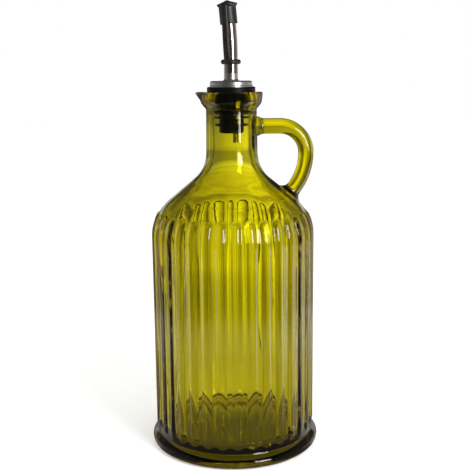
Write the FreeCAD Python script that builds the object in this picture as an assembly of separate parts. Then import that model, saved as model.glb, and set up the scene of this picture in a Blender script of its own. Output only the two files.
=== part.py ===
# Handled olive oil bottle of ribbed glass with a plug-in steel pourer.
# Millimetres.  Z is up through the bottle's axis and z = 0 is the table.
# The handle is on +X, the glass pouring lip on -X, and -Y is the front.
# One STEP file per piece goes to parts/.
import os
from math import cos, radians, sin, sqrt, tan

import FreeCAD
import Part

V = FreeCAD.Vector

# ---------------------------------------------------------------- bottle
BODY_R = 50.0            # over the crests of the ribs
RIB_COUNT = 34
RIB_HEIGHT = 1.1         # crest above the plain glass between two ribs
RIB_RADIUS = 4.4         # round section of a rib
RIB_BOTTOM = 10.8        # height of a rib's lower tip
RIB_TOP_TURN = 25.0      # how far a rib follows the shoulder curve, degrees
FOOT_OUT = 2.6           # foot beyond the crests of the ribs
FOOT_EDGE_Z = 5.0        # top of the foot's upright edge
FOOT_TOP_Z = 8.2
STAND_IN = 8.0           # inner edge of the standing ring, inside BODY_R
PUSH_UP = 5.0            # rise of the underside at the centre
SHOULDER_R = 28.0        # convex curve from the wall onto the shoulder
SHOULDER_TURN = 50.0     # slant of the shoulder, degrees from upright
SHOULDER_START = 131.8   # height where the crests turn onto the shoulder
NECK_CURVE_R = 20.0      # concave curve from the shoulder into the neck
NECK_R = 15.8
NECK_TAPER = 0.5         # the neck is this much slimmer under the rim
RIM_TOP = 219.5
RIM_HEIGHT = 10.2
RIM_SWELL = 3.7          # height over which the rim swells out of the neck
RIM_SIDE_R = 18.4
RIM_R = 19.05
BODY_WALL = 3.4
SHOULDER_WALL = 3.6
NECK_WALL = 3.5
FLOOR_Z = 9.0            # inside floor where it meets the wall
FLOOR_RISE = 2.0
BORE_R = 11.2            # mouth, where the plug grips
BORE_DEPTH = 11.0
MOUTH_EASE = 0.8

LIP_R = 7.0              # round nose of the pouring lip
LIP_REACH = 22.1         # lip's tip from the bottle's axis
LIP_ROOT = 15.0          # where the nose leaves the neck
CHANNEL_R = 4.5          # pouring channel along the lip
CHANNEL_DEPTH = 1.9      # at the mouth
CHANNEL_TIP_DEPTH = 0.8

# ---------------------------------------------------------------- handle
ROD_R = 4.7
ROD_RISE = 67.0          # level run from the neck, above SHOULDER_START
BEND_START_X = 29.0
BEND_R = 16.3            # outer bend, a quarter turn down
SWEEP_R = 36.0           # wide curve back to the shoulder
SWEEP_TURN = 40.0        # so that the rod meets the slant squarely
ROD_SUNK = 3.3           # rod's straight end inside the glass
FLARE_R = 7.0            # where the rod is fused to the neck
PAD_R = 10.0             # low pad where it is fused to the shoulder
PAD_RISE = 2.2

# ---------------------------------------------------------------- pourer
SLIP = 0.1               # play between a piece and its seat
FLANGE_OVER = 3.4        # flange beyond the mouth's bore
FLANGE_T = 3.0
PLUG_R = 7.4
PLUG_LENGTH = 24.5       # from under the flange down the neck
GRIP_LENGTH = 7.0        # full-width top of the plug that seals the mouth
FIN_FIRST = 4.9          # middle of the lowest fin above the plug's end
FIN_PITCH = 4.6
FIN_COUNT = 3
FIN_T = 1.5
FIN_PLAY = 0.5           # fins inside the bore
FIN_LOW_PLAY = 1.2       # lowest fin, a lead-in
TUBE_R = 4.2
TUBE_WALL = 0.5
TUBE_SEAT = 14.0         # depth of the tube in the plug
COLLAR_R = 13.0
COLLAR_T = 3.5
COLLAR_FOOT = 0.3        # width of the collar's flared foot
TUBE_STRAIGHT = 20.5     # straight tube over the flange
TUBE_LEAN = 5.0          # lean of its end toward the lip, degrees
TUBE_BEND_R = 140.0
TUBE_TIP = 12.2          # straight end past the bend
AIR_R = 1.7
AIR_WALL = 0.5
AIR_X = 2.4
AIR_DROP = 6.1           # air tube's end below the plug
PASSAGE_GAP = 0.6        # rubber between the two passages
RING_UP = 9.8            # dust cap's ring round the tube, over the collar
RING_T = 2.8
RING_WALL = 1.8
CAP_WALL = 1.0
CAP_LENGTH = 10.0        # straight side of the cap
CAP_BRIM = 0.9           # brim beyond the cap's side
CAP_BRIM_T = 1.6
CAP_ROOF = 2.0
CAP_OVERLAP = 8.2        # length of tube inside the cap
STRAP_WIDTH = 4.0
STRAP_THICK = 2.2
STRAP_TURN = 26.0        # strap's place, degrees from the front toward -X
STRAP_OFF = 1.7          # strap's middle off the tube's surface


def rounded_wire(corners):
    """Closed wire through (r, z, fillet) corners, in the XZ plane."""
    pts = [V(r, 0, z) for r, z, _ in corners]
    ends = []
    for i, (_, _, fillet) in enumerate(corners):
        here = pts[i]
        back = (pts[i - 1] - here).normalize()
        ahead = (pts[(i + 1) % len(pts)] - here).normalize()
        if fillet <= 0:
            ends.append((here, None, here))
            continue
        half = back.getAngle(ahead) / 2.0
        reach = fillet / tan(half)
        middle = (back + ahead).normalize()
        centre = here + middle * (fillet / sin(half))
        ends.append((here + back * reach, centre - middle * fillet,
                     here + ahead * reach))
    edges = []
    for i, (start, mid, stop) in enumerate(ends):
        if mid is not None:
            edges.append(Part.Arc(start, mid, stop).toShape())
        after = ends[(i + 1) % len(ends)][0]
        if stop.distanceToPoint(after) > 1e-6:
            edges.append(Part.makeLine(stop, after))
    return Part.Wire(edges)


def turned(corners):
    """Solid of revolution about Z from rounded (r, z, fillet) corners."""
    face = Part.Face(rounded_wire(corners))
    return face.revolve(V(0, 0, 0), V(0, 0, 1), 360)


def placed(shape, origin, axis):
    """A copy of a shape turned about Z, moved so that Z follows axis."""
    shape = shape.copy()
    shape.Placement = FreeCAD.Placement(
        origin, FreeCAD.Rotation(V(0, 0, 1), axis))
    return shape


def rod(path, radius):
    """Round bar along a wire of tangent lines and arcs."""
    first = path.Edges[0]
    start = first.valueAt(first.FirstParameter)
    axis = first.tangentAt(first.FirstParameter)
    section = Part.Wire(Part.makeCircle(radius, start, axis))
    return path.makePipeShell([section], True, True)


def arc_from(centre, radius, start, stop):
    """Arc in the XZ plane, angles in degrees from +X toward +Z."""
    def at(angle):
        turn = radians(angle)
        return centre + V(radius * cos(turn), 0, radius * sin(turn))
    return Part.Arc(at(start), at((start + stop) / 2.0), at(stop)).toShape()


def wall_and_shoulder(wall_r, neck_r, inset, wall_fillet, neck_fillet):
    """The two corners that the slanted shoulder makes with the wall and
    with the neck.  inset is how deep it lies below the outer surface."""
    slope = tan(radians(SHOULDER_TURN))
    crest_corner = SHOULDER_START + SHOULDER_R * tan(
        radians(SHOULDER_TURN) / 2.0)
    slant_r = BODY_R - inset / cos(radians(SHOULDER_TURN))
    return [(wall_r, crest_corner + (slant_r - wall_r) / slope, wall_fillet),
            (neck_r, crest_corner + (slant_r - neck_r) / slope, neck_fillet)]


# ---------------------------------------------------------------- glass
plain_r = BODY_R - RIB_HEIGHT
inner_r = plain_r - BODY_WALL
inner_neck_r = NECK_R - NECK_WALL
neck_top_r = NECK_R - NECK_TAPER
foot_r = BODY_R + FOOT_OUT
stand_r = BODY_R - STAND_IN
rim_start = RIM_TOP - RIM_HEIGHT
rod_z = SHOULDER_START + ROD_RISE


def glass_outside():
    return turned(
        [(0, PUSH_UP, 0), (stand_r / 2.0, PUSH_UP, 60.0),
         (stand_r - 4.0, PUSH_UP - 1.5, 6.0),
         (stand_r, 0, 1.2), (foot_r, 0, 3.2), (foot_r, FOOT_EDGE_Z, 3.0),
         (plain_r, FOOT_TOP_Z, 2.0)]
        + wall_and_shoulder(plain_r, NECK_R, 0, SHOULDER_R, NECK_CURVE_R)
        + [(neck_top_r, rim_start, 0.8),
           (RIM_SIDE_R, rim_start + RIM_SWELL, 4.0),
           (RIM_R, RIM_TOP, 0.9), (0, RIM_TOP, 0)])


def glass_inside():
    top = RIM_TOP + 1.0
    bore_end = RIM_TOP - BORE_DEPTH
    step = abs(inner_neck_r - BORE_R)
    return turned(
        [(0, FLOOR_Z + FLOOR_RISE, 0),
         (inner_r / 3.0, FLOOR_Z + FLOOR_RISE, 90.0),
         (inner_r, FLOOR_Z, 7.0)]
        + wall_and_shoulder(inner_r, inner_neck_r, SHOULDER_WALL,
                            SHOULDER_R - SHOULDER_WALL,
                            NECK_CURVE_R + SHOULDER_WALL)
        + [(inner_neck_r, bore_end - 2.0 * step, 1.5),
           (BORE_R, bore_end, 1.5),
           (BORE_R, RIM_TOP - MOUTH_EASE, 0),
           (BORE_R + MOUTH_EASE, RIM_TOP, 0),
           (BORE_R + MOUTH_EASE, top, 0), (0, top, 0)])


def rib():
    """One raised rib on +X: upright, then round the shoulder curve."""
    middle_r = BODY_R - RIB_RADIUS
    sunk = RIB_RADIUS - RIB_HEIGHT
    foot = RIB_BOTTOM + sqrt(RIB_RADIUS ** 2 - sunk ** 2)
    # the middle of the rib's section lies this deep all the way, so the
    # rib stands equally proud of the wall and of the shoulder curve
    corner = wall_and_shoulder(plain_r, NECK_R, 0, 0, 0)[0][1]
    bend_z = corner - SHOULDER_R * tan(radians(SHOULDER_TURN) / 2.0)
    centre = V(plain_r - SHOULDER_R, 0, bend_z)
    arc = arc_from(centre, SHOULDER_R - sunk, 0, RIB_TOP_TURN)
    low = V(middle_r, 0, foot)
    path = Part.Wire([Part.makeLine(low, V(middle_r, 0, bend_z)), arc])
    high = arc.valueAt(arc.LastParameter)
    return rod(path, RIB_RADIUS).fuse(
        [Part.makeSphere(RIB_RADIUS, low), Part.makeSphere(RIB_RADIUS, high)])


def ribs():
    """Ribs all round, one at the front and a groove at the handle."""
    one = rib()
    pitch = 360.0 / RIB_COUNT
    out = []
    for k in range(RIB_COUNT):
        copy = one.copy()
        copy.rotate(V(0, 0, 0), V(0, 0, 1), -90.0 + k * pitch)
        out.append(copy)
    return out


def lip():
    """Pouring lip: a round nose that leans out of the rim."""
    root = V(-(LIP_ROOT - LIP_R), 0, rim_start)
    lean = V(-(LIP_REACH - LIP_ROOT), 0, RIM_TOP - rim_start)
    disc = Part.Face(Part.Wire(Part.makeCircle(LIP_R, root, V(0, 0, 1))))
    nose = disc.extrude(lean)
    top_edges = [e for e in nose.Edges
                 if abs(e.BoundBox.ZMin - RIM_TOP) < 1e-3]
    return nose.makeFillet(0.8, top_edges)


def lip_channel():
    start = V(-BORE_R * 0.5, 0, RIM_TOP - CHANNEL_DEPTH + CHANNEL_R)
    stop = V(-LIP_REACH - 1.0, 0, RIM_TOP - CHANNEL_TIP_DEPTH + CHANNEL_R)
    run = stop - start
    return Part.makeCylinder(CHANNEL_R, run.Length, start, run)


def handle():
    """Round rod from the neck, over the bend and down to the shoulder."""
    start = V(inner_neck_r, 0, rod_z)
    bend_in = V(BEND_START_X, 0, rod_z)
    side_x = BEND_START_X + BEND_R
    bend = arc_from(V(BEND_START_X, 0, rod_z - BEND_R), BEND_R, 90, 0)
    sweep = arc_from(V(side_x - SWEEP_R, 0, rod_z - BEND_R), SWEEP_R,
                     0, -SWEEP_TURN)
    foot = sweep.valueAt(sweep.LastParameter)
    down = V(-sin(radians(SWEEP_TURN)), 0, -cos(radians(SWEEP_TURN)))
    flare = turned([(0, 0, 0), (FLARE_R, 0, 0), (FLARE_R, 0.6, 0),
                    (ROD_R, 3.0, 2.6), (ROD_R, 6.0, 0), (0, 6.0, 0)])
    sunk = 3.2
    pad = turned([(0, 0, 0), (PAD_R, 0, 0), (PAD_R, sunk - 1.4, 1.2),
                  (ROD_R + 1.0, sunk + PAD_RISE - 0.5, 2.0),
                  (ROD_R - 0.2, sunk + PAD_RISE + 0.8, 0),
                  (0, sunk + PAD_RISE + 0.8, 0)])
    slant = radians(SHOULDER_TURN)
    corner = SHOULDER_START + SHOULDER_R * tan(slant / 2.0)
    # distance of the rod's last bend point above the slanted shoulder
    above = ((foot.x - BODY_R) * cos(slant)
             + (foot.z - corner) * sin(slant))
    seat = foot + down * above
    end = foot + down * (max(above, 0.0) + ROD_SUNK)
    path = Part.Wire([Part.makeLine(start, bend_in), bend, sweep,
                      Part.makeLine(foot, end)])
    return rod(path, ROD_R).fuse(
        [placed(flare, V(NECK_R - 2.3, 0, rod_z), V(1, 0, 0)),
         placed(pad, seat + down * sunk, down * -1)])


def bottle():
    glass = glass_outside().fuse(ribs() + [lip(), handle()])
    return glass.cut([glass_inside(), lip_channel()]).removeSplitter()


# ---------------------------------------------------------------- pourer
flange_top = RIM_TOP + FLANGE_T
tube_bottom = flange_top - TUBE_SEAT
bend_start_z = flange_top + TUBE_STRAIGHT
plug_bottom = RIM_TOP - PLUG_LENGTH
fin_room_r = min(BORE_R, inner_neck_r)
flange_r = BORE_R + FLANGE_OVER
ring_z = flange_top + COLLAR_T + RING_UP
cap_r = TUBE_R + CAP_WALL


def plug():
    """Black plug: flange on the rim, full-width grip in the mouth and
    tapered fins down the neck."""
    corners = [(0, plug_bottom, 0), (PLUG_R, plug_bottom, 0.8)]
    for k in range(FIN_COUNT):
        z = plug_bottom + FIN_FIRST + k * FIN_PITCH
        edge = fin_room_r - (FIN_PLAY if k else FIN_LOW_PLAY)
        root, tip = FIN_T / 2.0, FIN_T / 3.0
        corners += [(PLUG_R, z - root, 0), (edge, z - tip, 0),
                    (edge, z + tip, 0), (PLUG_R, z + root, 0)]
    grip_r = BORE_R - SLIP
    corners += [(PLUG_R, RIM_TOP - GRIP_LENGTH, 0),
                (grip_r, RIM_TOP - GRIP_LENGTH + 0.6, 0),
                (grip_r, RIM_TOP, 0), (flange_r, RIM_TOP, 0),
                (flange_r, flange_top, 0.8), (0, flange_top, 0)]
    seat = Part.makeCylinder(TUBE_R + SLIP, TUBE_SEAT + 1.0,
                             V(0, 0, tube_bottom))
    below = tube_bottom - plug_bottom + 1.0
    air = Part.makeCylinder(AIR_R + SLIP, below + 0.5,
                            V(AIR_X, 0, plug_bottom - 1.0))
    # oil passage: the rest of the tube's bore, beside the air tube
    flow_r = TUBE_R - TUBE_WALL
    side = AIR_X - AIR_R - SLIP - PASSAGE_GAP
    flow = Part.makeCylinder(flow_r, below + 0.5, V(0, 0, plug_bottom - 1.0))
    flow = flow.common(Part.makeBox(
        flow_r + side + 1.0, 4 * flow_r, below + 2.0,
        V(-flow_r - 1.0, -2 * flow_r, plug_bottom - 2.0)))
    return turned(corners).cut([seat, air, flow]).removeSplitter()


def tube_path(start_z, tip):
    """Middle line of the pouring tube from start_z to past its bend."""
    bend = arc_from(V(-TUBE_BEND_R, 0, bend_start_z), TUBE_BEND_R,
                    0, TUBE_LEAN)
    end = bend.valueAt(bend.LastParameter)
    lean = tube_axis()
    return Part.Wire([Part.makeLine(V(0, 0, start_z), V(0, 0, bend_start_z)),
                      bend, Part.makeLine(end, end + lean * tip)])


def tube_axis():
    return V(-sin(radians(TUBE_LEAN)), 0, cos(radians(TUBE_LEAN)))


def tube_end():
    """Centre of the tube's open tip."""
    last = tube_path(tube_bottom, TUBE_TIP).Edges[-1]
    return last.valueAt(last.LastParameter)


def spout():
    """Steel collar with the pouring tube pressed through it."""
    z0 = flange_top
    z1 = z0 + COLLAR_T
    collar = turned([(0, z0, 0), (COLLAR_R, z0, 0),
                     (COLLAR_R, z0 + 0.5, 0.2),
                     (COLLAR_R - COLLAR_FOOT, z0 + 1.0, 0.4),
                     (COLLAR_R - COLLAR_FOOT, z1, 1.0),
                     (TUBE_R, z1, 1.4), (TUBE_R, z1 + 2.0, 0),
                     (0, z1 + 2.0, 0)])
    bore = rod(tube_path(tube_bottom - 1.0, TUBE_TIP + 1.0),
               TUBE_R - TUBE_WALL)
    return collar.fuse(rod(tube_path(tube_bottom, TUBE_TIP), TUBE_R)) \
        .cut(bore).removeSplitter()


def air_tube():
    bottom = plug_bottom - AIR_DROP
    start = V(AIR_X, 0, bottom)
    length = tube_bottom - bottom - SLIP
    return Part.makeCylinder(AIR_R, length, start).cut(
        Part.makeCylinder(AIR_R - AIR_WALL, length + 2.0,
                          start - V(0, 0, 1)))


def dust_cap():
    """Rubber cap on the tip, with a strap to a ring round the tube."""
    ring_r = TUBE_R + RING_WALL
    ring = turned([(0, 0, 0), (ring_r, 0, RING_T * 0.45),
                   (ring_r, RING_T, RING_T * 0.45), (0, RING_T, 0)])
    ring.translate(V(0, 0, ring_z))
    brim = CAP_LENGTH + CAP_BRIM_T
    brim_r = cap_r + CAP_BRIM
    cap = turned([(0, 0, 0), (cap_r, 0, 0.5), (cap_r, CAP_LENGTH, 0.8),
                  (brim_r, CAP_LENGTH + 1.0, 0.3), (brim_r, brim, 0.4),
                  (1.4, brim + CAP_ROOF * 0.8, 0.5),
                  (1.1, brim + CAP_ROOF, 0.2), (0, brim + CAP_ROOF, 0)])
    lean = tube_axis()
    mouth = tube_end() - lean * CAP_OVERLAP
    cap = placed(cap, mouth, lean)
    # the strap leaves the ring, stands clear of the tube, and ends as a
    # ridge up the side of the cap
    turn = radians(STRAP_TURN)
    out = V(-sin(turn), -cos(turn), 0)
    off = TUBE_R + STRAP_OFF
    points = [V(0, 0, ring_z + RING_T / 2.0) + out * (ring_r - 1.2),
              V(0, 0, ring_z + RING_T + 3.5) + out * off,
              mouth - lean * 3.0 + out * off,
              mouth + lean * 2.0 + out * (cap_r + 0.2),
              mouth + lean * (CAP_LENGTH + 0.6) + out * (cap_r - 0.3)]
    path = Part.BSplineCurve()
    path.interpolate(points)
    edge = path.toShape()
    start = edge.FirstParameter
    heading = edge.tangentAt(start)
    wide = heading.cross(out).normalize()
    section = Part.Ellipse(
        points[0] + wide * (STRAP_WIDTH / 2.0),
        points[0] + heading.cross(wide) * (STRAP_THICK / 2.0), points[0])
    strap = Part.Wire(edge).makePipeShell(
        [Part.Wire(section.toShape())], True, False)
    room = rod(tube_path(ring_z - 1.0, TUBE_TIP + 3 * SLIP), TUBE_R + SLIP)
    return ring.fuse([cap, strap]).cut(room).removeSplitter()


def main():
    os.makedirs("parts", exist_ok=True)
    pieces = {"bottle": bottle(), "plug": plug(), "spout": spout(),
              "air_tube": air_tube(), "dust_cap": dust_cap()}
    for name, shape in pieces.items():
        if len(shape.Solids) != 1:
            raise ValueError("%s is %d solids" % (name, len(shape.Solids)))
        shape.Solids[0].exportStep("parts/%s.step" % name)


main()
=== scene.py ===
from math import acos, atan2, cos, pi, radians, sin, tan

import bpy
import numpy as np
from mathutils import Matrix, Vector


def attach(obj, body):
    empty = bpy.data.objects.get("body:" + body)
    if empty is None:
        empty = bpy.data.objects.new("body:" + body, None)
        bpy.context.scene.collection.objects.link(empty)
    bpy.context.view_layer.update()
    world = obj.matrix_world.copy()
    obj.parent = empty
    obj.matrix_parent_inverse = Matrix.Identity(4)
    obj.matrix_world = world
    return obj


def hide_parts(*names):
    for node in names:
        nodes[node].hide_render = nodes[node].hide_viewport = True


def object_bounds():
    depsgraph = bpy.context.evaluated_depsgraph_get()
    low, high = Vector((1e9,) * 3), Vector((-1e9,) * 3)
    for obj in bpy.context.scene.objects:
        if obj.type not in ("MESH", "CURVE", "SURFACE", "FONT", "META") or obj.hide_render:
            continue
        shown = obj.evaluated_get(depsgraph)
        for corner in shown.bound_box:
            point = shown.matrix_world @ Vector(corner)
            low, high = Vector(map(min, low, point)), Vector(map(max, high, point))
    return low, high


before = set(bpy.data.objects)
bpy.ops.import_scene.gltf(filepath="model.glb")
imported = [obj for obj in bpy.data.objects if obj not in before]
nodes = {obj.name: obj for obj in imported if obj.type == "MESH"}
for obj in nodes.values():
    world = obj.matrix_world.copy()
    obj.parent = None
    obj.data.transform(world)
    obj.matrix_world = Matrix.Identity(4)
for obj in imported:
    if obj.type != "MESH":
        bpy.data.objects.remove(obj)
cad_low, cad_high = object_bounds()
MM = 0.001

# ------------------------------------------------------------ the bottle
# The same driving sizes as the CAD part.
BODY_R = 50.0            # over the ribs
RIB_COUNT = 34
RIB_HEIGHT = 1.1
RIB_RADIUS = 4.4         # of a rib's round section
RIB_BOTTOM = 10.8        # where the ribs' lower tips meet the plain wall
RIB_TOP_TURN = 25.0      # how far the ribs run onto the shoulder's curve
FOOT_R = BODY_R + 2.6
FOOT_EDGE_Z = 5.0        # top of the foot's upright edge
FOOT_TOP_Z = 8.2
STAND_R = BODY_R - 8.0   # inner edge of the ring that it stands on
PUSH_UP = 5.0            # rise of the underside
SHOULDER_R = 28.0
SHOULDER_TURN = 50.0     # slant of the shoulder, from upright
SHOULDER_START = 131.8   # where the ribs' crests turn onto the shoulder
NECK_CURVE_R = 20.0
NECK_R = 15.8
NECK_TOP_R = NECK_R - 0.5
RIM_TOP = 219.5
RIM_START = RIM_TOP - 10.2
RIM_SIDE_R = 18.4
RIM_SIDE_Z = RIM_START + 3.7
RIM_R = 19.05
BODY_WALL = 3.4
SHOULDER_WALL = 3.6
INNER_CURVE_R = 30.0     # inside, from the shoulder into the neck
NECK_WALL = 3.5
FLOOR_Z = 9.0            # inside floor where it meets the wall
FLOOR_RISE = 2.0
BORE_R = 11.2            # mouth, where the plug grips
BORE_DEPTH = 11.0
MOUTH_EASE = 0.8
LIP_R = 7.0              # round nose of the pouring lip
LIP_REACH = 22.1         # its tip from the bottle's axis
LIP_ROOT = 15.0          # where the nose leaves the neck
CHANNEL_R = 4.5          # pouring channel along the lip
CHANNEL_DEPTH = 1.9      # at the mouth
CHANNEL_TIP_DEPTH = 0.8
ROD_R = 4.7              # the handle is a bent rod
ROD_Z = SHOULDER_START + 67.0
BEND_START_X = 29.0
BEND_R = 16.3            # outer bend, a quarter turn down
SWEEP_R = 36.0           # wide curve back to the shoulder
SWEEP_TURN = 40.0
PAD_R = 10.0             # foot of the handle, pressed on the shoulder
PAD_RISE = 2.2
PAD_SUNK = 1.6

# Curves that round the corners of the outline.
PUSH_CURVE_R = 60.0      # middle of the underside
PUSH_EDGE_R = 6.0        # its edge, this far in from the standing ring
PUSH_EDGE_IN = 4.0
PUSH_EDGE_DROP = 1.5
STAND_CURVE_R = 1.2
FOOT_UNDER_R = 3.2
FOOT_OVER_R = 3.0
FOOT_WALL_R = 2.0
RIM_FOOT_R = 0.8
RIM_SIDE_CURVE_R = 4.0
RIM_EDGE_R = 0.9
FLOOR_CURVE_R = 90.0
FLOOR_EDGE_R = 7.0
BORE_STEP_R = 1.5

# Finish of the inside.
RIPPLE = 0.35            # slow uneven waves of hand-finished glass
RIPPLE_START_R = 14.0    # none in the neck, all of it in the body
RIPPLE_FULL_R = 34.0

# Rows of the glass mesh: turn between rows in a curve, longest run between
# rows on a straight.
BASE_ROWS = (11.0, 8.0)
TIP_ROWS = (6.0, 0.75)
WALL_ROWS = (6.0, 15.0)
SHOULDER_ROWS = (1.75, 9.0)
PLAIN_SHARE = 3          # above the ribs, one row in three is kept
RIM_ROWS = (16.0, 1.5)
INSIDE_ROWS = (6.0, 9.0)
AXIS_R = 0.6             # each skin ends in a small ring round the axis
TIPS_FROM = RIB_BOTTOM - 0.6
TIPS_TO = 15.0
NECK_TOP_Z = RIM_START - 4.0
LIP_FROM = RIM_START - 0.6
LIP_UNDER = 0.05         # the lip starts below the rim by this share of it
CHANNEL_FROM_Z = RIM_TOP - 3.0
CHANNEL_LAP = 0.3        # the inside's edge lies lower in the channel
NO_LIMIT = 1e9
CREASE_SHARES = (0.35, 0.65, 0.85, 0.96, 1.05, 1.27)  # 1 is the crease
HALVINGS = 18            # steps of the search for a rib's height

PLAIN_R = BODY_R - RIB_HEIGHT
INNER_R = PLAIN_R - BODY_WALL
INNER_NECK_R = NECK_R - NECK_WALL
SLANT = radians(SHOULDER_TURN)
SLANT_CORNER = SHOULDER_START + SHOULDER_R * tan(SLANT / 2)
RIBS_END_Z = SHOULDER_START + SHOULDER_R   # the ribs' tops are below this
SUNK = RIB_RADIUS - RIB_HEIGHT
RIB_LINE_R = BODY_R - RIB_RADIUS
CREASE = acos((PLAIN_R ** 2 + RIB_LINE_R ** 2 - RIB_RADIUS ** 2)
              / (2 * PLAIN_R * RIB_LINE_R))   # half the angle a rib takes up


def shoulder_corners(wall_r, neck_r, inset, wall_fillet, neck_fillet):
    """Corners of the slanted shoulder with the wall and the neck."""
    slant_r = BODY_R - inset / cos(SLANT)
    return [(r, SLANT_CORNER + (slant_r - r) / tan(SLANT), fillet)
            for r, fillet in ((wall_r, wall_fillet), (neck_r, neck_fillet))]


# height at which the plain wall turns onto the shoulder
BEND_Z = (shoulder_corners(PLAIN_R, NECK_R, 0, 0, 0)[0][1]
          - SHOULDER_R * tan(SLANT / 2))


def rounded(corners, turn_step, run_step):
    """Points along open (r, z, fillet) corners: arcs every turn_step
    degrees, runs divided so that no piece is longer than run_step."""
    pts = []

    def run_to(p):
        if pts:
            a = np.array(pts[-1])
            n = max(1, int(np.ceil(np.hypot(*(p - a)) / run_step)))
            pts.extend(a + (p - a) * k / n for k in range(1, n + 1))
        else:
            pts.append(p)

    for i, (r, z, fillet) in enumerate(corners):
        here = np.array((r, z))
        if not fillet or i in (0, len(corners) - 1):
            run_to(here)
            continue
        back = np.array(corners[i - 1][:2]) - here
        ahead = np.array(corners[i + 1][:2]) - here
        back, ahead = back / np.hypot(*back), ahead / np.hypot(*ahead)
        half = np.arccos(np.clip(back @ ahead, -1, 1)) / 2
        middle = (back + ahead) / np.hypot(*(back + ahead))
        centre = here + middle * fillet / sin(half)
        start = here + back * fillet / tan(half)
        stop = here + ahead * fillet / tan(half)
        run_to(start)
        a0 = atan2(*(start - centre)[::-1])
        a1 = atan2(*(stop - centre)[::-1])
        sweep = (a1 - a0 + pi) % (2 * pi) - pi
        n = max(2, int(np.ceil(abs(np.degrees(sweep)) / turn_step)))
        pts.extend(centre + fillet * np.array((cos(a0 + sweep * k / n),
                                               sin(a0 + sweep * k / n)))
                   for k in range(1, n + 1))
    return np.array(pts)


def normals(profile):
    """Unit normals on the right of a walk along the profile."""
    step = np.gradient(profile, axis=0)
    step /= np.maximum(np.hypot(step[:, 0], step[:, 1]), 1e-9)[:, None]
    return np.stack([step[:, 1], -step[:, 0]], 1)


def from_rib_line(x, z):
    """Distance in a rib's own plane from the middle line of its section:
    an upright line, then an arc round the shoulder, both ends rounded."""
    foot = RIB_BOTTOM + np.sqrt(RIB_RADIUS ** 2 - SUNK ** 2)
    line = np.hypot(x - RIB_LINE_R, z - np.clip(z, foot, BEND_Z))
    centre_r = PLAIN_R - SHOULDER_R
    arc_r = SHOULDER_R - SUNK
    turn = np.clip(np.arctan2(z - BEND_Z, x - centre_r), 0,
                   radians(RIB_TOP_TURN))
    arc = np.hypot(x - centre_r - arc_r * np.cos(turn),
                   z - BEND_Z - arc_r * np.sin(turn))
    return np.minimum(line, arc)


def rib_relief(profile, normal, phi):
    """How far the ribs stand out of the plain glass, for each profile
    point and each angle phi from the nearest rib's plane."""
    r, z = profile[:, :1], profile[:, 1:]
    nr, nz = normal[:, :1], normal[:, 1:]
    low = np.zeros((len(profile), len(phi)))
    high = np.full_like(low, 2.0 * RIB_HEIGHT)

    def inside(t):
        rho = r + t * nr
        gap = from_rib_line(rho * np.cos(phi), z + t * nz)
        return np.hypot(rho * np.sin(phi), gap) < RIB_RADIUS

    on = inside(low)
    for _ in range(HALVINGS):
        mid = (low + high) / 2
        hit = inside(mid)
        low, high = np.where(hit, mid, low), np.where(hit, high, mid)
    return np.where(on, low, 0.0)


# ------------------------------------------------------------ glass mesh
def outer_outline():
    """Points up the outside, from under the bottle to the mouth."""
    tips_low = (PLAIN_R, TIPS_FROM, 0)
    tips_high = (PLAIN_R, TIPS_TO, 0)
    wall_top = (PLAIN_R, SHOULDER_START, 0)
    neck_top = (NECK_TOP_R, NECK_TOP_Z, 0)
    base = rounded([(AXIS_R, PUSH_UP, 0),
                    (STAND_R / 2, PUSH_UP, PUSH_CURVE_R),
                    (STAND_R - PUSH_EDGE_IN, PUSH_UP - PUSH_EDGE_DROP,
                     PUSH_EDGE_R),
                    (STAND_R, 0, STAND_CURVE_R), (FOOT_R, 0, FOOT_UNDER_R),
                    (FOOT_R, FOOT_EDGE_Z, FOOT_OVER_R),
                    (PLAIN_R, FOOT_TOP_Z, FOOT_WALL_R), tips_low],
                   *BASE_ROWS)
    tips = rounded([tips_low, tips_high], *TIP_ROWS)
    wall = rounded([tips_high, wall_top], *WALL_ROWS)
    shell = shoulder_corners(PLAIN_R, NECK_R, 0, SHOULDER_R, NECK_CURVE_R)
    shoulder = rounded([wall_top, *shell, neck_top], *SHOULDER_ROWS)
    plain = shoulder[:, 1] > RIBS_END_Z
    kept = ~plain | (np.cumsum(plain) % PLAIN_SHARE == 0)
    kept[-1] = True
    rim = rounded([neck_top, (NECK_TOP_R, RIM_START, RIM_FOOT_R),
                   (RIM_SIDE_R, RIM_SIDE_Z, RIM_SIDE_CURVE_R),
                   (RIM_R, RIM_TOP, RIM_EDGE_R),
                   (BORE_R + MOUTH_EASE, RIM_TOP, 0)], *RIM_ROWS)
    return np.vstack([base, tips[1:], wall[1:], shoulder[kept][1:],
                      rim[1:]])


def inner_outline():
    """Points down the inside, from the mouth to the middle of the floor."""
    middle_z = FLOOR_Z + FLOOR_RISE
    bore_end = RIM_TOP - BORE_DEPTH
    neck_end = bore_end - 2 * (INNER_NECK_R - BORE_R)
    shell = shoulder_corners(INNER_R, INNER_NECK_R, SHOULDER_WALL,
                             SHOULDER_R - SHOULDER_WALL, INNER_CURVE_R)
    return rounded([(AXIS_R, middle_z, 0),
                    (INNER_R / 3, middle_z, FLOOR_CURVE_R),
                    (INNER_R, FLOOR_Z, FLOOR_EDGE_R), *shell,
                    (INNER_NECK_R, neck_end, BORE_STEP_R),
                    (BORE_R, bore_end, BORE_STEP_R),
                    (BORE_R, RIM_TOP - MOUTH_EASE, 0)], *INSIDE_ROWS)[::-1]


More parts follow.
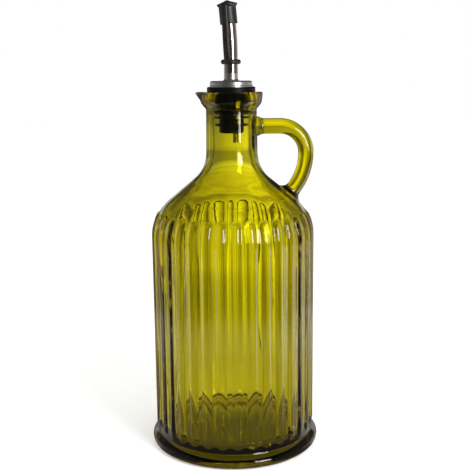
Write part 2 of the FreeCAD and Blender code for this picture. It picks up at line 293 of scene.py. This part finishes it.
def lip_radius(theta, z):
    """How far the leaning round nose of the lip reaches, by angle from
    the lip's plane and by height; zero where there is no lip."""
    up = (z - RIM_START) / (RIM_TOP - RIM_START)
    centre = LIP_ROOT - LIP_R + (LIP_REACH - LIP_ROOT) * up
    side = centre * np.sin(theta)
    reach = centre * np.cos(theta) + np.sqrt(
        np.maximum(LIP_R ** 2 - side ** 2, 0))
    ok = (np.abs(side) < LIP_R) & (np.cos(theta) > 0) & (up > -LIP_UNDER)
    return np.where(ok, reach, 0.0)


def channel_floor(x, y):
    """Height of the pouring channel under the point, or no limit."""
    start, end = 0.5 * BORE_R, LIP_REACH + 1.0
    along = (-x - start) / (end - start)
    depth = CHANNEL_DEPTH + (CHANNEL_TIP_DEPTH - CHANNEL_DEPTH) * along
    across = np.maximum(CHANNEL_R ** 2 - y ** 2, 0)
    floor = RIM_TOP - depth + CHANNEL_R - np.sqrt(across)
    return np.where((across > 0) & (x < -start), floor, NO_LIMIT)


def columns():
    """Angles round the bottle, closer together at the ribs' creases, and
    the same angles measured from the nearest rib's middle."""
    pitch = 2 * pi / RIB_COUNT
    half = CREASE * np.array(CREASE_SHARES)
    one = np.concatenate([-half[::-1], [0.0], half, [pitch / 2]])
    k = np.arange(RIB_COUNT)[:, None]
    theta = (-pi / 2 + k * pitch + one[None, :]).ravel()
    phi = np.tile(one, RIB_COUNT)
    return theta, phi


def ripple(theta, z):
    """Slow uneven waves round and up the bottle."""
    wave = (np.sin(2 * theta + z / 31.0) + np.sin(3 * theta - z / 19.0 + 1.3)
            + 0.6 * np.sin(5 * theta + z / 11.0 + 0.4))
    fine = (np.sin(9 * theta + z / 7.0 + 2.0) * np.sin(4 * theta - z / 13.0)
            + 0.5 * np.sin(14 * theta - z / 23.0))
    return RIPPLE * (wave / 2.6 + 0.35 * fine)


def outer_skin(theta, phi):
    """Rings of the outside, with its ribs, lip and pouring channel."""
    outline = outer_outline()
    r0, z0 = outline[:, :1], outline[:, 1:]
    normal = normals(outline)
    relief = rib_relief(outline, normal, phi)
    relief[outline[:, 1] < FOOT_TOP_Z] = 0
    relief[outline[:, 1] > RIBS_END_Z] = 0
    r = r0 + relief * normal[:, :1]
    z = z0 + relief * normal[:, 1:]
    # the lip swells out of the rim on -X, with the rim's own rounded edge
    reach = lip_radius(theta[None, :] % (2 * pi) - pi, z0)
    up_edge = np.maximum(z0 - RIM_TOP + RIM_EDGE_R, 0)
    edge = RIM_EDGE_R - np.sqrt(
        np.maximum(RIM_EDGE_R ** 2 - up_edge ** 2, 0))
    reach = np.where(reach > 0, reach - edge, 0)
    on_rim = (z0 > LIP_FROM) & (r0 > LIP_ROOT)
    r = np.where(on_rim, np.maximum(r, reach), r)
    x, y = r * np.cos(theta), r * np.sin(theta)
    z = np.where(z0 > CHANNEL_FROM_Z, np.minimum(z, channel_floor(x, y)), z)
    return np.stack([x, y, z], 2)


def inner_skin(theta):
    """Rings of the inside, with its ripples and the channel's end."""
    outline = inner_outline()
    r0, z0 = outline[:, :1], outline[:, 1:]
    share = np.clip((r0 - RIPPLE_START_R)
                    / (RIPPLE_FULL_R - RIPPLE_START_R), 0, 1)
    r = r0 + ripple(theta[None, :], z0) * share
    x, y = r * np.cos(theta), r * np.sin(theta)
    z = z0 + 0 * x
    z = np.where(z0 > CHANNEL_FROM_Z,
                 np.minimum(z, channel_floor(x, y) - CHANNEL_LAP), z)
    return np.stack([x, y, z], 2)


def glass_body():
    theta, phi = columns()
    rings = np.concatenate([outer_skin(theta, phi), inner_skin(theta)])
    return ring_mesh("glass_bottle", rings)


def ring_mesh(name, rings):
    """Closed mesh through a stack of rings, shape (rows, columns, 3), with
    a fan of triangles over the first and the last ring."""
    rows, cols = rings.shape[:2]
    verts = np.vstack([rings.reshape(-1, 3), rings[0].mean(0),
                       rings[-1].mean(0)]) * MM
    i = np.arange(rows - 1)[:, None] * cols
    j = np.arange(cols)[None, :]
    k = (j + 1) % cols
    quads = np.stack([i + j, i + k, i + cols + k, i + cols + j], 2)
    faces = quads.reshape(-1, 4).tolist()
    first, last = rows * cols, rows * cols + 1
    end = (rows - 1) * cols
    for j in range(cols):
        k = (j + 1) % cols
        faces.append((first, k, j))
        faces.append((last, end + j, end + k))
    mesh = bpy.data.meshes.new(name)
    mesh.from_pydata(verts.tolist(), [], faces)
    mesh.validate()
    mesh.shade_smooth()
    obj = bpy.data.objects.new(name, mesh)
    bpy.context.scene.collection.objects.link(obj)
    return obj


# ---------------------------------------------------------------- handle
ROD_BURIED = 1.2         # the rod starts this far inside the neck's wall
NECK_FLARE = 1.3         # it is wider by this where it leaves the neck
FLARE_LENGTH = 1.3
CURVE_START = 3.0        # turn at the first section of each curve
FOOT_RUN_START = 0.3
# Sections along the rod: out of the neck, bend, sweep, down to the foot.
NECK_SECTIONS, BEND_SECTIONS, SWEEP_SECTIONS, FOOT_SECTIONS = 22, 30, 14, 18
ROD_COLUMNS = 64
# How far the glass spreads past the rod, by height above the shoulder.
PAD_SPREAD = ((-PAD_SUNK, PAD_R - ROD_R), (0.0, 0.64 * (PAD_R - ROD_R)),
              (0.8, 2.0), (PAD_RISE, 0.7), (PAD_RISE + 1.2, 0.0))
# from the end of the sweep straight down to the slanted shoulder
SWEEP_END = (BEND_START_X + BEND_R - SWEEP_R * (1 - cos(radians(SWEEP_TURN))),
             ROD_Z - BEND_R - SWEEP_R * sin(radians(SWEEP_TURN)))
SEAT = ((SWEEP_END[0] - BODY_R) * cos(SLANT)
        + (SWEEP_END[1] - SLANT_CORNER) * sin(SLANT))


def rod_line():
    """Middle line of the handle with its heading at each point."""
    pts, heads = [], []

    def add(x, z, turn):
        pts.append((x, z))
        heads.append(turn)

    for x in np.linspace(INNER_NECK_R + ROD_BURIED, BEND_START_X,
                         NECK_SECTIONS):
        add(x, ROD_Z, 0.0)
    for t in np.radians(np.linspace(CURVE_START, 90, BEND_SECTIONS)):
        add(BEND_START_X + BEND_R * sin(t), ROD_Z - BEND_R * (1 - cos(t)), t)
    side = BEND_START_X + BEND_R
    for t in np.radians(np.linspace(CURVE_START, SWEEP_TURN,
                                    SWEEP_SECTIONS)):
        add(side - SWEEP_R * (1 - cos(t)), ROD_Z - BEND_R - SWEEP_R * sin(t),
            pi / 2 + t)
    x, z = pts[-1]
    t = radians(SWEEP_TURN)
    for s in np.linspace(FOOT_RUN_START, SEAT + PAD_SUNK, FOOT_SECTIONS):
        add(x - s * sin(t), z - s * cos(t), pi / 2 + t)
    return np.array(pts), np.array(heads)


def handle_rod():
    pts, heads = rod_line()
    step = np.r_[0, np.cumsum(np.hypot(*np.diff(pts, axis=0).T))]
    neck_gap = np.maximum(pts[:, 0] - NECK_R, 0)
    flare = NECK_FLARE * np.exp(-(neck_gap / FLARE_LENGTH) ** 2 / 2)
    pad = np.interp(step[-1] - PAD_SUNK - step, *zip(*PAD_SPREAD))
    radius = (ROD_R + flare + pad)[:, None]
    a = np.linspace(0, 2 * pi, ROD_COLUMNS, endpoint=False)
    side = np.stack([np.sin(heads), np.cos(heads)], 1)
    x = pts[:, :1] + radius * side[:, :1] * np.cos(a)
    z = pts[:, 1:] + radius * side[:, 1:] * np.cos(a)
    y = radius * np.sin(a)
    return ring_mesh("handle_rod", np.stack([x, y, z], 2))


def join_solids(body, other):
    """Union of two closed meshes, so that light sees one glass."""
    for obj in (body, other):
        if signed_volume(obj.data) < 0:
            obj.data.flip_normals()
    mod = body.modifiers.new("union", "BOOLEAN")
    mod.operation = "UNION"
    mod.solver = "MANIFOLD"
    mod.object = other
    deps = bpy.context.evaluated_depsgraph_get()
    fused = bpy.data.meshes.new_from_object(body.evaluated_get(deps))
    body.modifiers.clear()
    body.data = fused
    fused.shade_smooth()
    bpy.data.objects.remove(other)


def signed_volume(mesh):
    """Volume inside the mesh, negative where its faces look inward."""
    mesh.calc_loop_triangles()
    co = np.empty(len(mesh.vertices) * 3)
    mesh.vertices.foreach_get("co", co)
    co = co.reshape(-1, 3)
    tri = np.empty(len(mesh.loop_triangles) * 3, dtype=np.int32)
    mesh.loop_triangles.foreach_get("vertices", tri)
    a, b, c = (co[tri.reshape(-1, 3)[:, k]] for k in range(3))
    return float(np.einsum("ij,ij->", a, np.cross(b, c)) / 6)


# ------------------------------------------------------------- materials
def new_material(name):
    """Material with its node tree and its principled shader."""
    mat = bpy.data.materials.new(name)
    mat.use_nodes = True
    tree = mat.node_tree
    shader = tree.nodes["Principled BSDF"]
    return mat, tree, shader


def noise(tree, scale, detail=3.0, stretch=None):
    """Noise in object space; stretch scales it along X, Y and Z."""
    coord = tree.nodes.new("ShaderNodeTexCoord")
    tex = tree.nodes.new("ShaderNodeTexNoise")
    tex.inputs["Scale"].default_value = scale
    tex.inputs["Detail"].default_value = detail
    source = coord.outputs["Object"]
    if stretch:
        place = tree.nodes.new("ShaderNodeMapping")
        place.inputs["Scale"].default_value = stretch
        tree.links.new(source, place.inputs["Vector"])
        source = place.outputs["Vector"]
    tree.links.new(source, tex.inputs["Vector"])
    return tex.outputs["Fac"]


NOISE_LOW, NOISE_HIGH = 0.3, 0.7   # most of a noise lies between these


def spread(tree, fac, low, high):
    """The noise mapped to a range from low to high."""
    node = tree.nodes.new("ShaderNodeMapRange")
    node.inputs["From Min"].default_value = NOISE_LOW
    node.inputs["From Max"].default_value = NOISE_HIGH
    node.inputs["To Min"].default_value = low
    node.inputs["To Max"].default_value = high
    tree.links.new(fac, node.inputs["Value"])
    return node.outputs["Result"]


def tint(tree, fac, dark, light):
    """Colour dark where fac is 0 and light where it is 1."""
    node = tree.nodes.new("ShaderNodeMix")
    node.data_type = "RGBA"
    for socket, colour in (("A", dark), ("B", light)):
        if isinstance(colour, tuple):
            node.inputs[socket].default_value = (*colour, 1)
        else:
            tree.links.new(colour, node.inputs[socket])
    tree.links.new(fac, node.inputs["Factor"])
    return node.outputs["Result"]


def bump(tree, fac, height_mm, strength):
    """Relief of the given height that follows fac."""
    node = tree.nodes.new("ShaderNodeBump")
    node.inputs["Distance"].default_value = height_mm * MM
    node.inputs["Strength"].default_value = strength
    tree.links.new(fac, node.inputs["Height"])
    return node.outputs["Normal"]


GLASS_LOSS = (0.042, 0.055, 0.75)    # of red, green and blue, per mm
GLASS_IOR = 1.50
PLUG_BLACKS = ((0.002, 0.002, 0.002), (0.005, 0.005, 0.006))
CAP_BLACKS = ((0.006, 0.006, 0.006), (0.013, 0.013, 0.013))
BRIGHT_STEELS = ((0.54, 0.525, 0.51), (0.66, 0.645, 0.63))
# painted shade: the tube's steel colour is darker and warmer than the collar's, standing
# for the dim room it mirrors
PAINTED_SHADE_STEELS = ((0.36, 0.31, 0.27), (0.46, 0.40, 0.355))
COLLAR_TOP = 230.0       # the spout is satin below this, polished above, where its colour is painted shade
COLLAR_BLEND = 1.0
DRAWN = (0.15, 0.15, 6.0)  # stretch of the grain that lies round the tube


def green_glass():
    """Olive glass: nearly clear skin with slow waves and small seeds, and
    a colour that deepens with the way through it."""
    mat, tree, shader = new_material("olive_glass")
    shader.inputs["Base Color"].default_value = (1, 1, 1, 1)
    shader.inputs["Transmission Weight"].default_value = 1.0
    shader.inputs["IOR"].default_value = GLASS_IOR
    rough = spread(tree, noise(tree, scale=60, detail=2.0), 0.0, 0.006)
    tree.links.new(rough, shader.inputs["Roughness"])
    waves = bump(tree, noise(tree, scale=45, detail=1.0),
                 height_mm=0.3, strength=0.22)
    specks = noise(tree, scale=230, detail=2.0, stretch=(1.0, 1.0, 0.5))
    seeds = bump(tree, specks, height_mm=0.06, strength=0.4)
    tree.links.new(waves, seeds.node.inputs["Normal"])
    tree.links.new(seeds, shader.inputs["Normal"])
    loss = tree.nodes.new("ShaderNodeVolumeAbsorption")
    most = max(GLASS_LOSS)
    red, green, blue = (1 - share / most for share in GLASS_LOSS)
    loss.inputs["Density"].default_value = most / MM
    loss.inputs["Color"].default_value = (red, green, blue, 1)
    tree.links.new(loss.outputs["Volume"],
                   tree.nodes["Material Output"].inputs["Volume"])
    return mat


def rubber(name, colours, patch_scale, grain_scale, grain_mm, rough, shine):
    """Black rubber with a fine grain and slow patches of dark grey."""
    mat, tree, shader = new_material(name)
    grain = noise(tree, grain_scale, detail=4.0)
    patches = spread(tree, noise(tree, patch_scale), 0, 1)
    tree.links.new(tint(tree, patches, *colours),
                   shader.inputs["Base Color"])
    shader.inputs["Specular IOR Level"].default_value = shine
    tree.links.new(spread(tree, grain, *rough), shader.inputs["Roughness"])
    tree.links.new(bump(tree, grain, grain_mm, strength=0.4),
                   shader.inputs["Normal"])
    return mat


def steel(name, rough, collar_rough=None):
    """Bright drawn steel.  With collar_rough it is the spout, whose collar
    is bright and satin and whose polished tube is given painted shade:
    a darker, warmer steel colour that stands for the dim room it mirrors."""
    mat, tree, shader = new_material(name)
    shader.inputs["Metallic"].default_value = 1.0
    lines = noise(tree, scale=500, detail=3.0, stretch=DRAWN)
    colour = tint(tree, spread(tree, lines, 0, 1), *BRIGHT_STEELS)
    haze = spread(tree, lines, *rough)
    if collar_rough:
        coord = tree.nodes.new("ShaderNodeTexCoord")
        split = tree.nodes.new("ShaderNodeSeparateXYZ")
        tree.links.new(coord.outputs["Object"], split.inputs["Vector"])
        on_collar = ranged(tree, split.outputs["Z"], COLLAR_TOP * MM,
                           (COLLAR_TOP + COLLAR_BLEND) * MM, 1.0, 0.0)
        # painted shade: above the collar the steel takes the darker, warmer colour that
        # stands for the dim room it mirrors
        painted_shade = tint(tree, spread(tree, lines, 0, 1), *PAINTED_SHADE_STEELS)
        colour = tint(tree, on_collar, painted_shade, colour)
        haze = blended(tree, on_collar, haze, collar_rough)
    tree.links.new(colour, shader.inputs["Base Color"])
    tree.links.new(haze, shader.inputs["Roughness"])
    tree.links.new(bump(tree, lines, height_mm=0.001, strength=0.3),
                   shader.inputs["Normal"])
    return mat


def dress(obj, mat):
    obj.data.materials.clear()
    obj.data.materials.append(mat)


# --------------------------------------------------------------- studio
# What glass lets through is a pale studio: soft panels all round and a
# table that dims towards the foot.  What glass and steel mirror is a dim
# room with lit walls and strips of table at the sides, a pale backdrop and
# two lit panes.  The camera sees white.  Distances here are in metres.
# Each pair is a distance from the bottle and the level of the table there.
THROUGH_STEPS = ((0.028, 0.07), (0.043, 0.16), (0.057, 0.46),
                 (0.075, 0.60), (0.10, 0.66), (0.16, 0.61), (0.24, 0.70),
                 (0.34, 0.69), (0.43, 0.76), (0.50, 0.98), (0.60, 0.92),
                 (0.75, 0.92), (0.90, 0.87), (1.04, 0.74), (1.12, 0.78),
                 (1.25, 0.98), (1.45, 0.92), (1.90, 0.72), (2.50, 0.54),
                 (2.90, 0.42))
GLOSS_STEPS = ((0.10, 0.20), (0.19, 0.25), (0.26, 0.45), (0.31, 0.45),
               (0.36, 0.08), (0.50, 0.04))
SHADOW_LEAN = 0.012      # the dim spot lies this far to the front
WARM = (1.0, 0.955, 0.90)  # colour of the light through the glass
ROOM_LIGHT = 0.9         # what the room gives to dull surfaces
CAMERA_LIFT = 0.3        # brings the unshaded table up to white
PANEL_COUNT = 8
PANEL_LEAN = radians(16.0)
PANEL_SLOPE = 0.42       # each panel is brighter toward its right

# A range is a stretch of one measure and the levels at its two ends, which
# are 0 and 1 where none are given.  "Right" is x and "behind" is y of a
# direction from the bottle; "far" is a distance from it; "up" is z.
PANEL_EDGE = (-0.92, -0.2, 0.28, 1.0)    # cosine of the turn in a panel
PANELS_SHOW = (0.10, 0.35)               # far
LEFT_DIM = (-0.1, -0.7, 1.0, 0.65)       # right
FRONT_LOSS = (-0.3, 0.15, 0.88, 0.0)     # behind; of light sent back
FRONT_LOSS_SHOWS = (0.07, 0.12)          # far
RIGHT_WALL = (0.3, 0.8, 0.0, 0.80)       # right
LEFT_WALL = (-0.3, -0.8, 0.0, 0.25)
WALLS_BEHIND = (-0.2, 0.3)               # behind
RIGHT_STRIP = (0.92, 0.96, 0.0, 2.4)     # right
LEFT_STRIP = (-0.92, -0.96, 0.0, 1.5)
STRIPS_BEFORE = (0.15, 0.0)              # behind
STRIPS_END = (0.6, 0.8, 1.0, 0.0)        # far
SIDES_SHOW = (0.08, 0.30, 0.25, 1.0)     # far
BACKDROP_FOOT = (-0.03, 0.0)             # up
BACKDROP_TOP = (0.09, 0.16, 1.0, 0.0)    # up
BACKDROP = (0.0, 0.8, 0.0, 0.80)         # behind
ROOM_SIDES = (0.6, 0.95, 0.05, 0.22)     # right or left


def maths(tree, operation, *values):
    node = tree.nodes.new("ShaderNodeMath")
    node.operation = operation
    for socket, value in zip(node.inputs, values):
        if isinstance(value, (int, float)):
            socket.default_value = value
        else:
            tree.links.new(value, socket)
    return node.outputs["Value"]


def product(tree, value, *others):
    for other in others:
        value = maths(tree, "MULTIPLY", value, other)
    return value


def length(tree, x, y):
    return maths(tree, "SQRT", maths(tree, "ADD",
                                     maths(tree, "POWER", x, 2.0),
                                     maths(tree, "POWER", y, 2.0)))


def blended(tree, fac, a, b):
    """Number a where fac is 0 and b where it is 1."""
    node = tree.nodes.new("ShaderNodeMix")
    for socket, value in (("Factor", fac), ("A", a), ("B", b)):
        if isinstance(value, (int, float)):
            node.inputs[socket].default_value = value
        else:
            tree.links.new(value, node.inputs[socket])
    return node.outputs["Result"]


def ranged(tree, value, start, stop, low=0.0, high=1.0):
    """Number that goes smoothly from low to high as value goes from
    start to stop."""
    node = tree.nodes.new("ShaderNodeMapRange")
    node.interpolation_type = "SMOOTHSTEP"
    for socket, number in (("From Min", start), ("From Max", stop),
                           ("To Min", low), ("To Max", high)):
        node.inputs[socket].default_value = number
    tree.links.new(value, node.inputs["Value"])
    return node.outputs["Result"]


def stepped(tree, value, steps):
    """Number that runs through the steps as value grows."""
    ramp = tree.nodes.new("ShaderNodeValToRGB")
    reach = steps[-1][0]
    stops = ramp.color_ramp.elements
    for i, (place, level) in enumerate(steps):
        if i == 0:
            stop = stops[0]
        elif i == len(steps) - 1:
            stop = stops[-1]
        else:
            stop = stops.new(place / reach)
        stop.position = place / reach
        stop.color = (level, level, level, 1)
    tree.links.new(maths(tree, "DIVIDE", value, reach), ramp.inputs["Fac"])
    return ramp.outputs["Color"]


def panels(tree, x, y):
    """Brightness by direction round Z: wide panels, dim between them."""
    turn = maths(tree, "ADD", PANEL_LEAN, maths(
        tree, "MULTIPLY", maths(tree, "ARCTAN2", y, x), PANEL_COUNT))
    share = ranged(tree, maths(tree, "COSINE", turn), *PANEL_EDGE)
    slope = maths(tree, "MULTIPLY", maths(tree, "SINE", turn), -PANEL_SLOPE)
    right = maths(tree, "DIVIDE", x, length(tree, x, y))
    return product(tree, share, ranged(tree, right, *LEFT_DIM),
                   maths(tree, "ADD", slope, 1.0))


def sent_back(tree, path, behind):
    """Share of the light left on a path that glass has reflected: the
    room is dim in front of the bottle, where behind is negative."""
    mirrored = maths(tree, "MINIMUM", path.outputs["Glossy Depth"], 1.0)
    loss = ranged(tree, behind, *FRONT_LOSS)
    return maths(tree, "SUBTRACT", 1.0, product(tree, mirrored, loss))


def table_through_glass(tree, path, x, y, far):
    """Level of the table where glass lets it through: dim near the
    bottle, where the bottle itself catches the light."""
    from_spot = length(tree, x, maths(tree, "ADD", y, SHADOW_LEAN))
    bright = blended(tree, ranged(tree, far, *PANELS_SHOW), 1.0,
                     panels(tree, x, y))
    behind = maths(tree, "DIVIDE", y, far)
    spared = blended(tree, ranged(tree, far, *FRONT_LOSS_SHOWS), 1.0,
                     sent_back(tree, path, behind))
    return product(tree, bright, stepped(tree, from_spot, THROUGH_STEPS),
                   spared)


def table_mirrored(tree, x, y, far):
    """Level of the table where glass and steel mirror it: dim, with the
    walls' light behind the bottle and lit strips at its two sides."""
    right = maths(tree, "DIVIDE", x, far)
    behind = maths(tree, "DIVIDE", y, far)
    walls = maths(tree, "ADD", ranged(tree, right, *RIGHT_WALL),
                  ranged(tree, right, *LEFT_WALL))
    walls = product(tree, walls, ranged(tree, behind, *WALLS_BEHIND))
    strips = maths(tree, "ADD", ranged(tree, right, *RIGHT_STRIP),
                   ranged(tree, right, *LEFT_STRIP))
    strips = product(tree, strips, ranged(tree, behind, *STRIPS_BEFORE),
                     ranged(tree, far, *STRIPS_END))
    sides = product(tree, maths(tree, "ADD", walls, strips),
                    ranged(tree, far, *SIDES_SHOW))
    return maths(tree, "ADD", stepped(tree, far, GLOSS_STEPS), sides)


def mixed_shader(tree, fac, a, b):
    node = tree.nodes.new("ShaderNodeMixShader")
    for socket, source in enumerate((fac, a, b)):
        tree.links.new(source, node.inputs[socket])
    return node.outputs["Shader"]


def floor_material():
    """White table with the part's soft shadow, as the camera sees it.
    Glass and steel see it as the dimmer studio's table."""
    mat, tree, shader = new_material("table_white")
    shader.inputs["Base Color"].default_value = (0.8, 0.8, 0.8, 1)
    shader.inputs["Roughness"].default_value = 0.9
    shader.inputs["Specular IOR Level"].default_value = 0.0
    path = tree.nodes.new("ShaderNodeLightPath")
    coord = tree.nodes.new("ShaderNodeTexCoord")
    split = tree.nodes.new("ShaderNodeSeparateXYZ")
    tree.links.new(coord.outputs["Object"], split.inputs["Vector"])
    x, y = split.outputs["X"], split.outputs["Y"]
    far = length(tree, x, y)
    # light that has passed through glass counts as glossy too
    shown = blended(tree, path.outputs["Is Transmission Ray"],
                    table_mirrored(tree, x, y, far),
                    table_through_glass(tree, path, x, y, far))
    glow = tree.nodes.new("ShaderNodeEmission")
    glow.inputs["Color"].default_value = (*WARM, 1)
    tree.links.new(shown, glow.inputs["Strength"])
    lift = tree.nodes.new("ShaderNodeEmission")
    lift.inputs["Strength"].default_value = CAMERA_LIFT
    lifted = tree.nodes.new("ShaderNodeAddShader")
    tree.links.new(shader.outputs["BSDF"], lifted.inputs[0])
    tree.links.new(lift.outputs["Emission"], lifted.inputs[1])
    eye = mixed_shader(tree, path.outputs["Is Camera Ray"],
                       shader.outputs["BSDF"], lifted.outputs["Shader"])
    seen = maths(tree, "MAXIMUM", path.outputs["Is Glossy Ray"],
                 path.outputs["Is Transmission Ray"])
    tree.links.new(mixed_shader(tree, seen, eye, glow.outputs["Emission"]),
                   tree.nodes["Material Output"].inputs["Surface"])
    return mat


TABLE_HALF = 3.0
TABLE_GAP = 0.0002       # under the foot


def make_floor():
    half = TABLE_HALF
    mesh = bpy.data.meshes.new("table")
    mesh.from_pydata([(-half, -half, 0), (half, -half, 0), (half, half, 0),
                      (-half, half, 0)], [], [(0, 1, 2, 3)])
    obj = bpy.data.objects.new("table", mesh)
    bpy.context.scene.collection.objects.link(obj)
    obj.location.z = cad_low[2] - TABLE_GAP
    dress(obj, floor_material())


def make_world():
    """Room beyond the table: white to the camera, the panels' far end
    through glass, and dim with a pale backdrop in mirrors."""
    world = bpy.data.worlds.new("studio")
    bpy.context.scene.world = world
    world.use_nodes = True
    tree = world.node_tree
    background = tree.nodes["Background"]
    path = tree.nodes.new("ShaderNodeLightPath")
    coord = tree.nodes.new("ShaderNodeTexCoord")
    split = tree.nodes.new("ShaderNodeSeparateXYZ")
    tree.links.new(coord.outputs["Generated"], split.inputs["Vector"])
    x, y, up = (split.outputs[axis] for axis in "XYZ")
    through = product(tree, panels(tree, x, y), THROUGH_STEPS[-1][1],
                      sent_back(tree, path, y))
    backdrop = product(tree, ranged(tree, up, *BACKDROP_FOOT),
                       ranged(tree, up, *BACKDROP_TOP),
                       ranged(tree, y, *BACKDROP))
    sides = ranged(tree, maths(tree, "ABSOLUTE", x), *ROOM_SIDES)
    light = blended(tree, path.outputs["Is Glossy Ray"], ROOM_LIGHT,
                    maths(tree, "ADD", backdrop, sides))
    # light that has passed through glass counts as glossy too
    light = blended(tree, path.outputs["Is Transmission Ray"], light,
                    through)
    light = blended(tree, path.outputs["Is Camera Ray"], light, 1.0)
    tree.links.new(light, background.inputs["Strength"])
    seen = tint(tree, path.outputs["Is Transmission Ray"], (1, 1, 1), WARM)
    tree.links.new(seen, background.inputs["Color"])


KEY_PLACE = (0.55, -0.75, 0.75)
KEY_AIM = (0, 0, 0.14)
KEY_SIZE = (0.35, 0.5)
KEY_POWER = 9
SOFTBOX_TURN = radians(35.0)  # to the right of the camera
SOFTBOX_FAR = 1.2
SOFTBOX_SIZE = (0.44, 0.64)
SOFTBOX_LEVEL = 11.0     # brightness of its face
SOFTBOX_Z = 0.50
PANE_SIZE = (0.20, 0.045)  # low pane, which the neck mirrors at the plug
PANE_Z = 0.142


def area_light(name, place, aim, size, power):
    data = bpy.data.lights.new(name, "AREA")
    data.shape = "RECTANGLE"
    data.size, data.size_y = size
    data.energy = power
    obj = bpy.data.objects.new(name, data)
    obj.location = place
    look = Vector(aim) - Vector(place)
    obj.rotation_euler = look.to_track_quat("-Z", "Y").to_euler()
    bpy.context.scene.collection.objects.link(obj)
    return obj


def make_lamps():
    """A key lamp that casts the shadow and is not mirrored, and two lit
    panes that are only mirrored."""
    key = area_light("key", KEY_PLACE, KEY_AIM, KEY_SIZE, KEY_POWER)
    key.visible_glossy = False
    x, y = SOFTBOX_FAR * sin(SOFTBOX_TURN), -SOFTBOX_FAR * cos(SOFTBOX_TURN)
    for name, size, z in (("softbox", SOFTBOX_SIZE, SOFTBOX_Z),
                          ("low_pane", PANE_SIZE, PANE_Z)):
        lamp = area_light(name, (x, y, z), (0, 0, z), size,
                          SOFTBOX_LEVEL * pi * size[0] * size[1])
        lamp.visible_diffuse = False


# The camera turns about the bottle's axis, looks down and leans a little.
VIEW_DISTANCE = 524.6
VIEW_HEIGHT = 233.7
VIEW_PITCH = 11.0
VIEW_TURN = -2.0
VIEW_ROLL = -0.65
LENS_MM = 65.9
SENSOR_MM = 36.0
VIEW_SHIFT = 0.0047
VIEW_END = 20.0          # metres


def make_camera():
    data = bpy.data.cameras.new("camera")
    data.lens = LENS_MM
    data.sensor_width = SENSOR_MM
    data.shift_x = VIEW_SHIFT
    data.clip_end = VIEW_END
    obj = bpy.data.objects.new("camera", data)
    turn = Matrix.Rotation(radians(VIEW_TURN), 4, "Z")
    place = Matrix.Translation((0, -VIEW_DISTANCE * MM, VIEW_HEIGHT * MM))
    tilt = Matrix.Rotation(radians(90 - VIEW_PITCH), 4, "X")
    roll = Matrix.Rotation(radians(VIEW_ROLL), 4, "Z")
    obj.matrix_world = turn @ place @ tilt @ roll
    bpy.context.scene.collection.objects.link(obj)
    bpy.context.scene.camera = obj


# ---------------------------------------------------------------- pieces
glass = glass_body()
join_solids(glass, handle_rod())
dress(glass, green_glass())
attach(glass, "root")
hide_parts("bottle")

dress(nodes["plug"], rubber(
    "plug_rubber", PLUG_BLACKS, patch_scale=140, grain_scale=900,
    grain_mm=0.02, rough=(0.30, 0.45), shine=0.10))
dress(nodes["spout"], steel("spout_steel", rough=(0.12, 0.17),
                            collar_rough=0.34))
dress(nodes["air_tube"], steel("air_tube_steel", rough=(0.15, 0.3)))
dress(nodes["dust_cap"], rubber(
    "cap_rubber", CAP_BLACKS, patch_scale=200, grain_scale=1400,
    grain_mm=0.008, rough=(0.34, 0.46), shine=0.5))

make_floor()
make_world()
make_lamps()
make_camera()

view = bpy.context.scene.view_settings
view.view_transform = "Standard"
